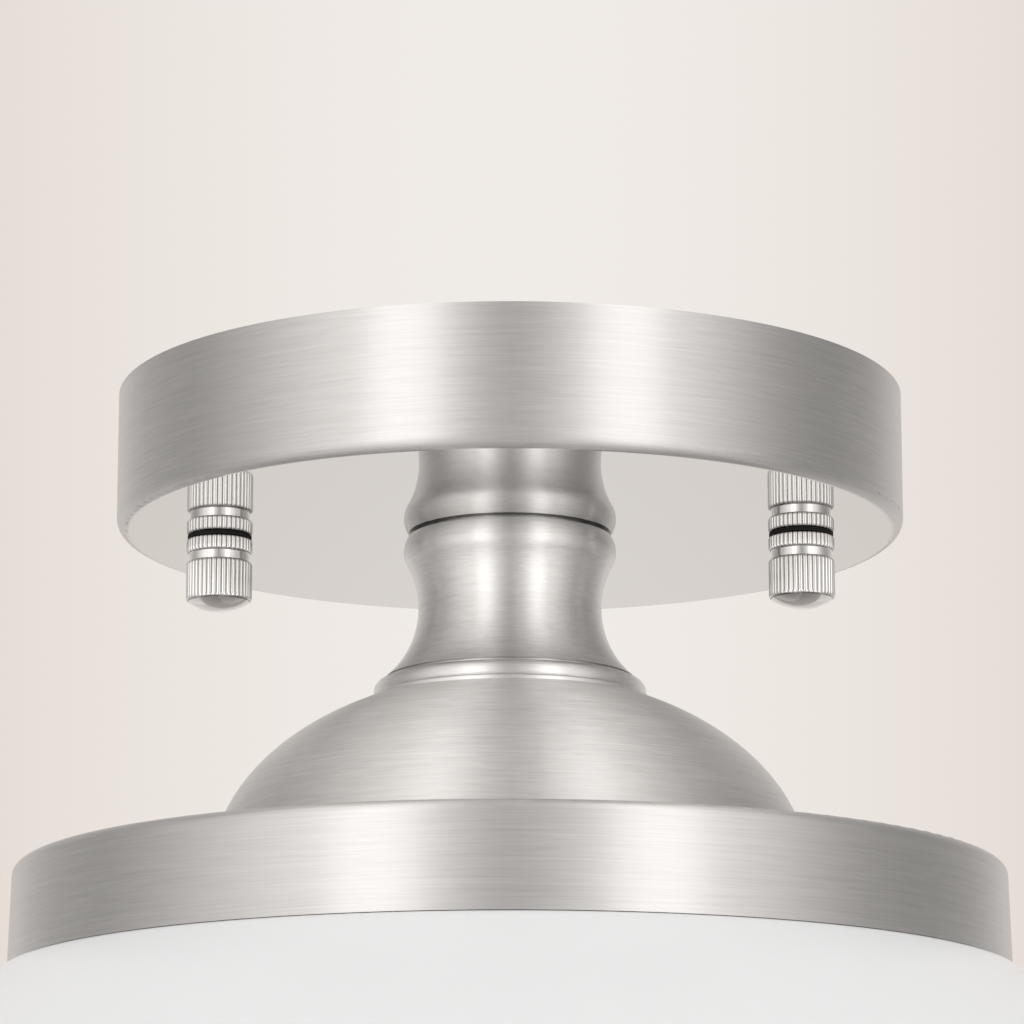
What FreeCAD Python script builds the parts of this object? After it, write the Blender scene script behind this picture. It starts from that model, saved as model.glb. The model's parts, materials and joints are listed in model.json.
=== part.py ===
import FreeCAD, Part
import math
import os

# Semi-flush ceiling light: a round canopy on a swivel crossbar, held by two knurled cap nuts, then a waisted
# neck, a bead, a dome and a flat-topped fitter band, with an opal glass shade that twists into the band.
# The origin is on the lamp's axis in the ceiling plane. +Z is up, so the lamp hangs below zero.
# All sizes are in millimetres and all angles in degrees.

V = FreeCAD.Vector
UP = V(0, 0, 1)
FULL_TURN = 360.0
HEXAGON = 6

# General fits and cutting allowances
overrun = 2.0              # how far a cutter passes its workpiece
thread_clearance = 0.05    # radial room between a thread's envelope and its hole
seat_gap = 0.05            # room between two flat faces of different bodies
joint_gap = 0.1            # room between the two bars of the crossbar
rivet_clearance = 0.08     # radial room that lets the lower bar turn on its rivet
lead_clearance = 0.1       # radial room round a lead in its hole

# Canopy: a drawn steel cup, open towards the ceiling
canopy_radius = 60.0
canopy_height = 21.0
canopy_wall = 0.8
canopy_corner = 1.8
stud_hole_clearance = 0.3

# Crossbar: the upper bar screws to the outlet box, the lower bar carries the studs and turns under it
bar_thickness = 1.5
box_bar_end = 3.65         # metal past each outlet-box slot
box_bar_width = 16.0
box_slot_near = 34.9       # from the axis to the box screw's nearest place
box_slot_far = 44.45       # and to its furthest
box_slot_radius = 2.4
box_bar_spare_hole_radius = 1.7
box_bar_spare_hole_place = 21.0
stud_inset = 15.5          # from the canopy's side to each stud
stud_bar_end = 6.0         # metal past each stud
stud_bar_width = 15.0
rivet_radius = 4.5
rivet_bore = 3.3
rivet_countersink = 0.9
rivet_flange_radius = 7.0
rivet_flange = 0.7

# Studs, their lock nuts and the ground screw, all on the lower bar
stud_radius = 2.0
stud_below_canopy = 8.0
stud_nut_flats = 7.0
stud_nut_height = 2.4
ground_screw_place = 24.0
ground_screw_radius = 2.4
ground_head_radius = 4.4
ground_head_height = 2.6
ground_slot_width = 1.2
ground_slot_depth = 1.0

# Knurled cap nuts and the fibre washers above them
washer_thickness = 0.2
washer_radius = 4.9
cap_radius = 5.05
cap_root_radius = 4.76
cap_flutes = 40
cap_crest_share = 0.42     # share of each flute's pitch that is the flat crest
cap_short_knurl = 2.35
cap_groove = 1.25
cap_groove_radius = 4.55
cap_long_knurl = 5.9
cap_dome = 1.7
cap_chamfer = 0.3
cap_bore_roof = 1.4        # metal left between the blind thread and the domed end

# Hollow threaded nipple on the axis, with its nuts, washers and plastic bushings
nipple_radius = 5.0
nipple_bore = 3.6
nipple_hole_clearance = 0.2
nipple_above_nut = 2.6
nut_flats = 14.0
nut_height = 3.0
lock_nut_height = 2.5
nipple_below_nut = 0.5
flat_washer_radius = 10.0
flat_washer_thickness = 1.0
lug_thickness = 0.8
lug_radius = 8.4
lug_neck_width = 4.4
lug_barrel_start = 11.0
lug_barrel_length = 5.5
lug_barrel_wall = 0.6
bushing_flange_radius = 5.4
bushing_flange = 1.2
bushing_sleeve = 4.0
bushing_wall = 0.6
bushing_clearance = 0.08

# Neck: a waisted, thin-walled spinning with a closed top
neck_height = 22.3
neck_wall = 1.4
neck_cap = 1.6
neck_seat_radius = 13.9
neck_seam_gap = 0.35
collar_top_radius = 15.5
collar_radius = 16.2
collar_bulge_drop = 2.2
collar_crease_radius = 15.75
collar_height = 4.4
waist_radius = 13.95
waist_drop = 11.3

# Bead: a dished ring with a rolled rim and a thin lower lip, between neck and dome
bead_radius = 20.7
bead_roll = 1.7
bead_height = 3.7
bead_crease = 0.4          # height of the slot between the neck's foot and the roll
bead_crease_depth = 0.8
bead_web = 1.0
bead_rim_width = 5.5
bead_lip = 0.8
bead_lip_reach = 0.5       # how far the lip stands out past the roll
bead_lip_edge = 0.35

# Dome: an elliptical cap with an inward foot that lies on the fitter pan
dome_radius = 45.0
dome_height = 26.1
dome_wall = 0.8
dome_step = 0.4
dome_foot = 8.0

# Fitter pan: flat top and a nearly straight band
band_radius = 75.0
band_height = 15.3
band_draft = 0.4
band_corner = 1.5
pan_wall = 0.8
pan_rivet_count = 4
pan_rivet_radius = 1.6
pan_rivet_head_radius = 3.0
pan_rivet_head = 1.1
pan_rivet_clearance = 0.05

# Three hooks under the pan that carry the glass
hook_count = 3
hook_width = 12.0
hook_thickness = 1.2
hook_wall_gap = 1.0
hook_tab = 6.0
hook_foot = 3.2
hook_first_angle = 90.0
twist_angle = 30.0

# Opal glass shade, with a notched lip and stop nibs. The one glass is made as three touching rings: its lip,
# shoulder and bowl.
glass_wall = 3.0
lip_thickness = 2.9
lip_play = 0.4
lip_foot_gap = 0.3
lip_hook_gap = 0.4
neck_hook_gap = 1.3
shade_band_gap = 0.35      # between the band's lower edge and the glass under it
shade_neck_fillet = 4.0
crown_inset = 1.7          # centre of the crown's curve, inwards from the band's inner wall
crown_arc_radius = 8.0
crown_slope = 10.0
shade_slope = 37.0
shade_radius = 120.0
shoulder_arc_radius = 48.5
belly_arc_radius = 95.0
belly_arc_angle = 40.0
shoulder_arcs = 3          # arcs of the outline down to its widest level: neck, crown and shoulder
base_arc_radius = 50.0
base_arc_angle = 78.0
notch_side_gap = 1.5
notch_root_gap = 0.3
nib_width = 3.0
nib_depth = 1.4
nib_thickness = 1.8
stop_gap = 0.6

# Lampholder: porcelain body on a U-shaped strap
strap_thickness = 1.5
strap_width = 12.0
strap_grip = 5.3           # how far the strap's legs reach down beside the body
strap_side_gap = 0.3
strap_screw_radius = 1.5
strap_screw_depth = 3.5
strap_screw_head_radius = 2.8
strap_screw_head = 1.8
strap_screw_up = 2.6
lead_bend_room = 13.0      # between the nipple's lower bushing and the body's top
body_height = 41.0
body_radius = 17.5
body_rim_radius = 20.5
body_rim_height = 15.0
body_edge = 2.0
cavity_roof = 10.5
live_hole_place = 6.0      # distance of the leads' holes from the axis
neutral_hole_place = 12.0

# Screw shell, its rivets and the centre contact inside the body
shell_wall = 0.4
shell_gap = 0.3
shell_flange = 4.2
shell_plain = 2.1
thread_pitch = 3.63
thread_depth = 0.65
shell_turns = 6
shell_rivet_radius = 1.2
shell_rivet_head_radius = 1.8
shell_rivet_room = 0.2     # between the rivets' heads and the shell's wall
shell_rivet_head = 0.8
shell_rivet_clearance = 0.05
contact_radius = 7.3
contact_thickness = 0.6
contact_bump_radius = 2.2
contact_bump = 0.8

# Lamp bulb
bulb_play = 0.3            # radial room between the bulb's thread and the shell's
bulb_contact_gap = 0.05
bulb_contact_radius = 3.2
bulb_contact_height = 0.9
insulator_height = 3.2
base_thread_radius = 13.1
base_wall = 0.5
base_turns = 5
base_collar = 3.0
base_cone_share = 0.25     # share of the thread's pitch in which the collar's cone widens
bulb_radius = 30.0
bulb_length = 108.0
bulb_wall = 1.0
bulb_neck_radius = 12.0
bulb_root = 3.0            # how far the glass reaches up into the base

# Supply leads and the wire connectors on their ends
lead_radius = 1.1
lead_side = 1.35           # each lead's distance from the axis inside the nipple
lead_turn_down = 7.0       # level at which the leads turn outwards, below the ceiling plane
lead_knee = 5.5            # height of a lead's first bend above the lampholder body
lead_mouth_drop = 2.5      # second bend, below the lower bushing's mouth
lead_mouth_reach = 1.5     # and how far that bend may reach up into the bushing
lead_fall_start = 14.0
lead_fall_end = 22.0
lead_into_connector = 3.0
bend_share = 0.45          # share of the shorter run beside it that a lead's bend may take
connector_length = 17.0
connector_straight_share = 1 / 3
connector_radius = 5.2
connector_tip_radius = 3.6
connector_wall = 1.2
connector_start = 26.0
connector_rim = 1.5        # depth of the recess round a lead at the connector's mouth
live_angle = 75.0
neutral_angle = 285.0
ground_angle = 150.0

# Levels, from the ceiling down
stud_bar_top = -bar_thickness - joint_gap
stud_bar_bottom = stud_bar_top - bar_thickness
canopy_underside = -canopy_height
canopy_floor = canopy_underside + canopy_wall
neck_bottom = canopy_underside - neck_height
dome_top = neck_bottom - bead_height
band_top = dome_top - dome_height
band_bottom = band_top - band_height
pan_underside = band_top - pan_wall
lug_top = canopy_floor + lug_thickness
lug_barrel_radius = lead_radius + lead_clearance + lug_barrel_wall
ground_lead_level = lug_top + lug_barrel_radius - lug_thickness / 2
canopy_nut_top = lug_top + flat_washer_thickness + nut_height
nipple_top = canopy_nut_top + nipple_above_nut
dome_roof = dome_top - dome_wall
dome_nut_top = dome_roof - flat_washer_thickness
strap_top = dome_nut_top - nut_height
strap_bottom = strap_top - strap_thickness
nipple_bottom = strap_bottom - lock_nut_height - nipple_below_nut
body_top = nipple_bottom - bushing_flange - lead_bend_room
body_bottom = body_top - body_height
shell_radius = base_thread_radius + bulb_play + thread_depth + shell_wall
shell_middle = shell_radius - thread_depth / 2
shell_rivet_place = shell_middle - shell_wall - shell_rivet_room - shell_rivet_head_radius
cavity_radius = shell_radius + shell_gap
cavity_top = body_top - cavity_roof
bulb_tip = cavity_top - contact_thickness - contact_bump - bulb_contact_gap
stud_bottom = canopy_underside - stud_below_canopy
stud_x = canopy_radius - stud_inset
nipple_hole = nipple_radius + nipple_hole_clearance


def mark(r, z):
    """A point of an outline, at radius r from the axis and height z."""
    return V(r, 0, z)


def three_point_arc(start, middle, end):
    return Part.Arc(start, middle, end).toShape()


def centred_arc(centre, radius, start_angle, end_angle):
    """An arc of an outline, between two angles measured from the outward direction."""
    points = []
    for angle in (start_angle, (start_angle + end_angle) / 2, end_angle):
        turn = math.radians(angle)
        points.append(centre + V(radius * math.cos(turn), 0, radius * math.sin(turn)))
    return three_point_arc(*points)


def revolved(*pieces):
    """Revolves a closed outline. A piece is a point, joined to the last by a straight line, or a curve."""
    edges = []
    first = last = None
    for piece in pieces:
        start = piece if isinstance(piece, V) else piece.firstVertex(True).Point
        if last is not None and start.distanceToPoint(last) > Part.Precision.confusion():
            edges.append(Part.makeLine(last, start))
        if first is None:
            first = start
        if isinstance(piece, V):
            last = piece
        else:
            edges.append(piece)
            last = piece.lastVertex(True).Point
    if last.distanceToPoint(first) > Part.Precision.confusion():
        edges.append(Part.makeLine(last, first))
    return Part.Face(Part.Wire(edges)).revolve(V(0, 0, 0), UP, FULL_TURN)


def ring(inner, outer, low, high):
    """A plain ring or disc on the axis."""
    return revolved(mark(inner, low), mark(outer, low), mark(outer, high), mark(inner, high))


def rod(radius, low, high, x=0.0, y=0.0):
    """An upright cylinder between two levels."""
    return Part.makeCylinder(radius, high - low, V(x, y, low))


def block(x_low, x_high, width, low, high):
    """A box along X, centred on the XZ plane."""
    return Part.makeBox(x_high - x_low, width, high - low, V(x_low, -width / 2, low))


def turned(shape, angle):
    """A copy turned about the lamp's axis."""
    copy = shape.copy()
    copy.rotate(V(0, 0, 0), UP, angle)
    return copy


def moved(shape, x, y=0.0, z=0.0):
    copy = shape.copy()
    copy.translate(V(x, y, z))
    return copy


def hex_nut(flats, hole, low, high):
    """A hexagon nut on the axis, with its corners chamfered at both ends."""
    corner = flats / math.sqrt(3)
    corners = []
    for side in range(HEXAGON + 1):
        turn = math.radians(side * FULL_TURN / HEXAGON)
        corners.append(V(corner * math.cos(turn), corner * math.sin(turn), low))
    prism = Part.Face(Part.makePolygon(corners)).extrude(V(0, 0, high - low))
    bevel = (corner - flats / 2) / math.sqrt(3)
    rounded = revolved(
        mark(0, low), mark(flats / 2, low), mark(corner, low + bevel), mark(corner, high - bevel),
        mark(flats / 2, high), mark(0, high))
    return prism.common(rounded).cut(rod(hole, low - overrun, high + overrun))


def bar(length, width):
    """A flat strip along X with round ends, its lower face at zero."""
    straight = length / 2 - width / 2
    strip = block(-straight, straight, width, 0, bar_thickness)
    for x in (-straight, straight):
        strip = strip.fuse(rod(width / 2, 0, bar_thickness, x))
    return strip.removeSplitter()


def slot_cutter(near, far, radius, low, high):
    """The cutter for a slot that runs along X between two hole places."""
    straight = block(near, far, 2 * radius, low, high)
    return straight.fuse(rod(radius, low, high, near)).fuse(rod(radius, low, high, far))


def tube(points, rooms):
    """A lead along straight runs joined by tangent arcs. A bend takes up to bend_share of its shorter run on
    each side, and no more than its own room."""
    edges = []
    radii = []
    last = points[0]
    for before, corner, after, room in zip(points, points[1:], points[2:], rooms):
        back = before - corner
        ahead = after - corner
        reach = min(bend_share * min(back.Length, ahead.Length), room)
        back.normalize()
        ahead.normalize()
        half = back.getAngle(ahead) / 2
        radius = reach * math.tan(half)
        toward = (back + ahead).normalize()
        start = corner + back * reach
        end = corner + ahead * reach
        middle = corner + toward * (radius / math.sin(half) - radius)
        edges.append(Part.makeLine(last, start))
        edges.append(three_point_arc(start, middle, end))
        radii.append(round(radius, 1))
        last = end
    edges.append(Part.makeLine(last, points[-1]))
    path = Part.Wire(edges)
    section = Part.Wire(Part.makeCircle(lead_radius, points[0], points[1] - points[0]))
    solid = path.makePipeShell([section], True, False)
    volume = math.pi * lead_radius**2 * path.Length
    print("lead: length %.1f, radii" % path.Length, radii)
    print("lead: volume over section times length %.4f" % (solid.Volume / volume))
    return solid


def box_bar():
    strip = bar(2 * (box_slot_far + box_slot_radius + box_bar_end), box_bar_width)
    for side in (0, 180):
        slot = slot_cutter(box_slot_near, box_slot_far, box_slot_radius, -overrun, bar_thickness + overrun)
        strip = strip.cut(turned(slot, side))
        spare = rod(box_bar_spare_hole_radius, -overrun, bar_thickness + overrun, box_bar_spare_hole_place)
        strip = strip.cut(turned(spare, side))
    strip = moved(turned(strip, 90), 0, 0, -bar_thickness)
    head_radius = rivet_radius + rivet_countersink
    hole = revolved(
        mark(0, overrun), mark(head_radius, overrun), mark(head_radius, 0),
        mark(rivet_radius, -rivet_countersink), mark(rivet_radius, -bar_thickness - overrun),
        mark(0, -bar_thickness - overrun))
    return strip.cut(hole)


def swivel_rivet():
    """A hollow rivet, flush with the ceiling plane above and flanged under the lower bar."""
    flange_top = stud_bar_bottom - joint_gap
    flange_bottom = flange_top - rivet_flange
    return revolved(
        mark(rivet_bore, 0), mark(rivet_radius + rivet_countersink, 0),
        mark(rivet_radius, -rivet_countersink), mark(rivet_radius, flange_top),
        mark(rivet_flange_radius, flange_top),
        mark(rivet_flange_radius, flange_bottom), mark(rivet_bore, flange_bottom))


def stud_bar():
    strip = moved(bar(2 * (stud_x + stud_bar_end), stud_bar_width), 0, 0, stud_bar_bottom)
    low = stud_bar_bottom - overrun
    high = stud_bar_top + overrun
    strip = strip.cut(rod(rivet_radius + rivet_clearance, low, high))
    for x in (-stud_x, stud_x):
        strip = strip.cut(rod(stud_radius + thread_clearance, low, high, x))
    return strip.cut(rod(ground_screw_radius + thread_clearance, low, high, ground_screw_place))


def canopy_studs():
    return [rod(stud_radius, stud_bottom, stud_bar_top, x) for x in (-stud_x, stud_x)]


def stud_lock_nuts():
    hole = stud_radius + thread_clearance
    nut = hex_nut(stud_nut_flats, hole, stud_bar_bottom - stud_nut_height, stud_bar_bottom)
    return [moved(nut, x) for x in (-stud_x, stud_x)]


def ground_screw():
    head_bottom = stud_bar_bottom - ground_head_height
    shank = rod(ground_screw_radius, stud_bar_bottom, stud_bar_top, ground_screw_place)
    head = rod(ground_head_radius, head_bottom, stud_bar_bottom, ground_screw_place)
    slot = block(
        ground_screw_place - ground_head_radius - overrun, ground_screw_place + ground_head_radius + overrun,
        ground_slot_width, head_bottom - overrun, head_bottom + ground_slot_depth)
    return shank.fuse(head).cut(slot)


def canopy():
    inner_corner = canopy_corner - canopy_wall
    centre = mark(canopy_radius - canopy_corner, canopy_underside + canopy_corner)
    cup = revolved(
        mark(nipple_hole, canopy_underside),
        centred_arc(centre, canopy_corner, -90, 0),
        mark(canopy_radius, 0),
        mark(canopy_radius - canopy_wall, 0),
        centred_arc(centre, inner_corner, 0, -90),
        mark(nipple_hole, canopy_floor))
    for x in (-stud_x, stud_x):
        hole = rod(stud_radius + stud_hole_clearance, canopy_underside - overrun, canopy_floor + overrun, x)
        cup = cup.cut(hole)
    return cup


def cap_washer(x):
    high = canopy_underside - seat_gap
    return moved(ring(stud_radius + thread_clearance, washer_radius, high - washer_thickness, high), x)


def cap_nut(x):
    """A fluted thumb nut with a plain groove and a smooth domed end, threaded blind from above."""
    top = canopy_underside - washer_thickness - 2 * seat_gap
    groove_top = top - cap_short_knurl
    groove_bottom = groove_top - cap_groove
    dome_base = groove_bottom - cap_long_knurl
    dome_end = dome_base - cap_dome
    neck = cap_radius - cap_chamfer
    outer = revolved(
        mark(0, top), mark(neck, top), mark(cap_radius, top - cap_chamfer),
        mark(cap_radius, groove_top + cap_chamfer), mark(neck, groove_top),
        mark(cap_groove_radius, groove_top), mark(cap_groove_radius, groove_bottom),
        mark(neck, groove_bottom), mark(cap_radius, groove_bottom - cap_chamfer),
        mark(cap_radius, dome_base), dome_arc(cap_radius, dome_base, dome_end))
    flutes = []
    pitch = FULL_TURN / cap_flutes
    for flute in range(cap_flutes):
        for share, radius in (
            (0, cap_radius),
            (cap_crest_share, cap_radius),
            ((1 + cap_crest_share) / 2, cap_root_radius),
        ):
            turn = math.radians((flute + share) * pitch)
            flutes.append(V(radius * math.cos(turn), radius * math.sin(turn), dome_base))
    flutes.append(flutes[0])
    prism = Part.Face(Part.makePolygon(flutes)).extrude(V(0, 0, top - dome_base))
    prism = prism.fuse(rod(cap_radius, dome_end, dome_base))
    bore = rod(stud_radius + thread_clearance, dome_end + cap_bore_roof, top + overrun)
    return moved(prism.common(outer).cut(bore), x)


def dome_arc(radius, base, end):
    """The outline of a shallow cap, from its rim at base to the axis, up or down to end."""
    rise = abs(end - base)
    sphere = (radius**2 + rise**2) / (2 * rise)
    side = 1 if end > base else -1
    rim_angle = math.degrees(math.acos(radius / sphere))
    return centred_arc(mark(0, end - side * sphere), sphere, side * rim_angle, side * 90)


def nipple():
    return ring(nipple_bore, nipple_radius, nipple_bottom, nipple_top)


def nipple_bushings():
    """Two plastic bushings that keep the leads off the nipple's edges."""
    outer = nipple_bore - bushing_clearance
    inner = outer - bushing_wall
    upper = revolved(
        mark(inner, nipple_top + bushing_flange), mark(bushing_flange_radius, nipple_top + bushing_flange),
        mark(bushing_flange_radius, nipple_top), mark(outer, nipple_top),
        mark(outer, nipple_top - bushing_sleeve), mark(inner, nipple_top - bushing_sleeve))
    lower = revolved(
        mark(inner, nipple_bottom - bushing_flange),
        mark(bushing_flange_radius, nipple_bottom - bushing_flange),
        mark(bushing_flange_radius, nipple_bottom), mark(outer, nipple_bottom),
        mark(outer, nipple_bottom + bushing_sleeve), mark(inner, nipple_bottom + bushing_sleeve))
    return [upper, lower]


def ground_lug():
    """A ring terminal on the canopy floor, with the barrel that the ground lead is crimped in."""
    plate = ring(nipple_hole, lug_radius, canopy_floor, lug_top)
    barrel_end = lug_barrel_start + lug_barrel_length
    neck_strip = block((nipple_hole + lug_radius) / 2, barrel_end, lug_neck_width, canopy_floor, lug_top)
    start = V(lug_barrel_start, 0, ground_lead_level)
    barrel = Part.makeCylinder(lug_barrel_radius, lug_barrel_length, start, V(1, 0, 0))
    bore = Part.makeCylinder(
        lead_radius + lead_clearance, lug_barrel_length + overrun, start - V(overrun / 2, 0, 0), V(1, 0, 0))
    return turned(plate.fuse(neck_strip).fuse(barrel).cut(bore), ground_angle).removeSplitter()


def canopy_washer():
    return ring(nipple_hole, flat_washer_radius, lug_top, lug_top + flat_washer_thickness)


def canopy_nut():
    return hex_nut(nut_flats, nipple_radius + thread_clearance, canopy_nut_top - nut_height, canopy_nut_top)


def neck():
    """The waisted neck. Its outline follows arcs that stand upright at the waist."""
    top = canopy_underside
    collar_bottom = top - collar_height
    waist = top - waist_drop
    foot_radius = bead_radius - bead_roll
    cap_bottom = top - neck_cap

    def waist_arc(radius, level, inset):
        """From the waist to a wider point, as an arc that starts upright."""
        width = radius - waist_radius
        height = level - waist
        sweep = (width**2 + height**2) / (2 * width)
        angle = math.degrees(math.asin(height / (sweep + inset)))
        return centred_arc(mark(waist_radius + sweep, waist), sweep + inset, 180, 180 - angle)

    outer_foot = waist_arc(foot_radius, neck_bottom, 0)
    outer_collar = waist_arc(collar_crease_radius, collar_bottom, 0)
    inner_foot = waist_arc(foot_radius, neck_bottom, neck_wall)
    inner_collar = waist_arc(collar_crease_radius, collar_bottom, neck_wall)
    bulge = three_point_arc(
        mark(collar_crease_radius, collar_bottom), mark(collar_radius, top - collar_bulge_drop),
        mark(collar_top_radius, top - neck_seam_gap))
    inner_collar_end = inner_collar.lastVertex(True).Point
    return revolved(
        mark(nipple_hole, top), mark(nipple_hole, cap_bottom), mark(inner_collar_end.x, cap_bottom),
        backwards(inner_collar), inner_foot, backwards(outer_foot), outer_collar, bulge,
        mark(neck_seat_radius, top - neck_seam_gap), mark(neck_seat_radius, top))


def backwards(edge):
    """The same arc, drawn from its end to its start."""
    curve = edge.Curve
    low, high = edge.ParameterRange
    middle = curve.value((low + high) / 2)
    return three_point_arc(edge.lastVertex(True).Point, middle, edge.firstVertex(True).Point)


bead_lip_radius = bead_radius + bead_lip_reach


def bead_ring():
    roll_top = neck_bottom - bead_crease
    roll_centre = mark(bead_radius - bead_roll, roll_top - bead_roll)
    seat_radius = roll_centre.x - bead_crease_depth
    rim_inner = bead_radius - bead_rim_width
    lip_level = dome_top + bead_lip
    roll_end = math.degrees(math.asin((lip_level - roll_centre.z) / bead_roll))
    return revolved(
        mark(rim_inner, neck_bottom), mark(seat_radius, neck_bottom), mark(seat_radius, roll_top),
        centred_arc(roll_centre, bead_roll, 90, roll_end),
        centred_arc(mark(bead_lip_radius - bead_lip_edge, lip_level - bead_lip_edge), bead_lip_edge, 90, 0),
        mark(bead_lip_radius, dome_top),
        mark(nipple_hole, dome_top), mark(nipple_hole, dome_top + bead_web),
        mark(rim_inner, dome_top + bead_web))


def ellipse_arc(half_width, half_height, low, high):
    """Part of an upright ellipse centred on the band's top plane, between two heights above it."""
    centre = mark(0, band_top)
    ellipse = Part.Ellipse(centre + mark(half_width, 0), centre + mark(0, half_height), centre)
    start = math.asin(low / half_height)
    end = math.asin(high / half_height)
    return Part.ArcOfEllipse(ellipse, start, end).toShape()


def dome():
    top_radius = bead_lip_radius + dome_step
    crown = dome_height / math.sqrt(1 - (top_radius / dome_radius) ** 2)
    outer = ellipse_arc(dome_radius, crown, 0, dome_height)
    inner = ellipse_arc(dome_radius - dome_wall, crown - dome_wall, dome_wall, dome_height - dome_wall)
    inner_points = [inner.valueAt(inner.ParameterRange[1]), inner.valueAt(inner.ParameterRange[0])]
    inner_curve = inner.copy()
    inner_curve.reverse()
    foot_hole = dome_radius - dome_foot
    edges = [
        outer,
        Part.makeLine(outer.valueAt(outer.ParameterRange[1]), mark(nipple_hole, dome_top)),
        Part.makeLine(mark(nipple_hole, dome_top), mark(nipple_hole, dome_roof)),
        Part.makeLine(mark(nipple_hole, dome_roof), inner_points[0]),
        inner_curve,
        Part.makeLine(inner_points[1], mark(foot_hole, band_top + dome_wall)),
        Part.makeLine(mark(foot_hole, band_top + dome_wall), mark(foot_hole, band_top)),
        Part.makeLine(mark(foot_hole, band_top), mark(dome_radius, band_top)),
    ]
    shell = Part.Face(Part.Wire(edges)).revolve(V(0, 0, 0), UP, FULL_TURN)
    return cut_rivet_holes(shell)


def rivet_circle():
    return dome_radius - dome_foot / 2


def cut_rivet_holes(shape):
    for rivet in range(pan_rivet_count):
        hole = rod(
            pan_rivet_radius + pan_rivet_clearance, pan_underside - overrun, band_top + dome_wall + overrun,
            rivet_circle())
        shape = shape.cut(turned(hole, (rivet + 0.5) * FULL_TURN / pan_rivet_count))
    return shape


def shade_pan():
    top_radius = band_radius - band_draft
    centre = mark(top_radius - band_corner, band_top - band_corner)
    hole = dome_radius - dome_foot
    pan = revolved(
        mark(hole, band_top),
        centred_arc(centre, band_corner, 90, 0),
        mark(band_radius, band_bottom), mark(band_radius - pan_wall, band_bottom),
        centred_arc(centre, band_corner - pan_wall, 0, 90),
        mark(hole, pan_underside))
    return cut_rivet_holes(pan)


def pan_rivets():
    """Rivets through the dome's foot and the pan, with a low round head on each side."""
    head_top = band_top + dome_wall
    rivet = revolved(
        dome_arc(pan_rivet_head_radius, head_top, head_top + pan_rivet_head),
        backwards(dome_arc(pan_rivet_head_radius, pan_underside, pan_underside - pan_rivet_head)),
        mark(pan_rivet_radius, pan_underside), mark(pan_rivet_radius, head_top))
    rivet = moved(rivet, rivet_circle())
    return [turned(rivet, (n + 0.5) * FULL_TURN / pan_rivet_count) for n in range(pan_rivet_count)]


# Where the hooks stand and how the lip fits between them
hook_outer = band_radius - band_draft - pan_wall - hook_wall_gap
hook_inner = hook_outer - hook_thickness
lip_top = pan_underside - hook_thickness - lip_play
lip_bottom = lip_top - lip_thickness
hook_foot_top = lip_bottom - lip_foot_gap
hook_bottom = hook_foot_top - hook_thickness
lip_radius = hook_inner - lip_hook_gap
foot_inner = hook_outer - hook_foot
glass_neck_radius = foot_inner - neck_hook_gap


def hook_angles():
    return [hook_first_angle + n * FULL_TURN / hook_count for n in range(hook_count)]


def shade_hooks():
    """Bent steel hooks: a tab on the pan, an upright web and a foot that reaches under the glass lip."""
    tab = block(hook_outer - hook_tab, hook_outer, hook_width, pan_underside - hook_thickness, pan_underside)
    web = block(hook_inner, hook_outer, hook_width, hook_bottom, pan_underside)
    foot = block(foot_inner, hook_outer, hook_width, hook_bottom, hook_foot_top)
    hook = tab.fuse(web).fuse(foot).removeSplitter()
    return [turned(hook, angle) for angle in hook_angles()]


def shade_wall(inset):
    """The shade's outline from its neck down to the axis, moved inwards by inset. Its arcs are tangent."""

    def outward(slope):
        """The glass's outward direction where its outline falls at this slope."""
        turn = math.radians(slope)
        return mark(math.sin(turn), math.cos(turn))

    def level_beside(x, distance, point, slope):
        """The height at x that lies at this distance outside the straight line through point."""
        normal = outward(slope)
        return point.z + (distance - (x - point.x) * normal.x) / normal.z

    edge = band_radius - pan_wall
    crown_drop = math.sqrt(crown_arc_radius**2 - crown_inset**2)
    crown = mark(edge - crown_inset, band_bottom - shade_band_gap - crown_drop)
    crown_start = crown + outward(crown_slope) * crown_arc_radius
    crown_end = crown + outward(shade_slope) * crown_arc_radius
    fillet_x = glass_neck_radius + shade_neck_fillet
    fillet = mark(fillet_x, level_beside(fillet_x, shade_neck_fillet, crown_start, crown_slope))
    shoulder_x = shade_radius - shoulder_arc_radius
    widest = level_beside(shoulder_x, -shoulder_arc_radius, crown_end, shade_slope)
    belly = mark(shade_radius - belly_arc_radius, widest)
    base = belly + outward(90 + belly_arc_angle) * (belly_arc_radius - base_arc_radius)
    toward_axis = outward(90 + base_arc_angle)
    reach = base.x / toward_axis.x
    bottom = base - toward_axis * reach
    return [
        centred_arc(fillet, shade_neck_fillet + inset, 180, 270 - crown_slope),
        centred_arc(crown, crown_arc_radius - inset, 90 - crown_slope, 90 - shade_slope),
        centred_arc(mark(shoulder_x, widest), shoulder_arc_radius - inset, 90 - shade_slope, 0),
        centred_arc(belly, belly_arc_radius - inset, 0, -belly_arc_angle),
        centred_arc(base, base_arc_radius - inset, -belly_arc_angle, -base_arc_angle),
        centred_arc(bottom, base_arc_radius + reach - inset, -base_arc_angle, -90),
    ]


def shade_ring(first, last):
    """The glass between the start of one arc of its outline and the end of another."""
    outer = shade_wall(0)[first:last]
    inner = [backwards(edge) for edge in reversed(shade_wall(glass_wall)[first:last])]
    return revolved(*outer, *inner)


def shade_shoulder():
    return shade_ring(0, shoulder_arcs)


def shade_bowl():
    return shade_ring(shoulder_arcs, len(shade_wall(0)))


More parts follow.
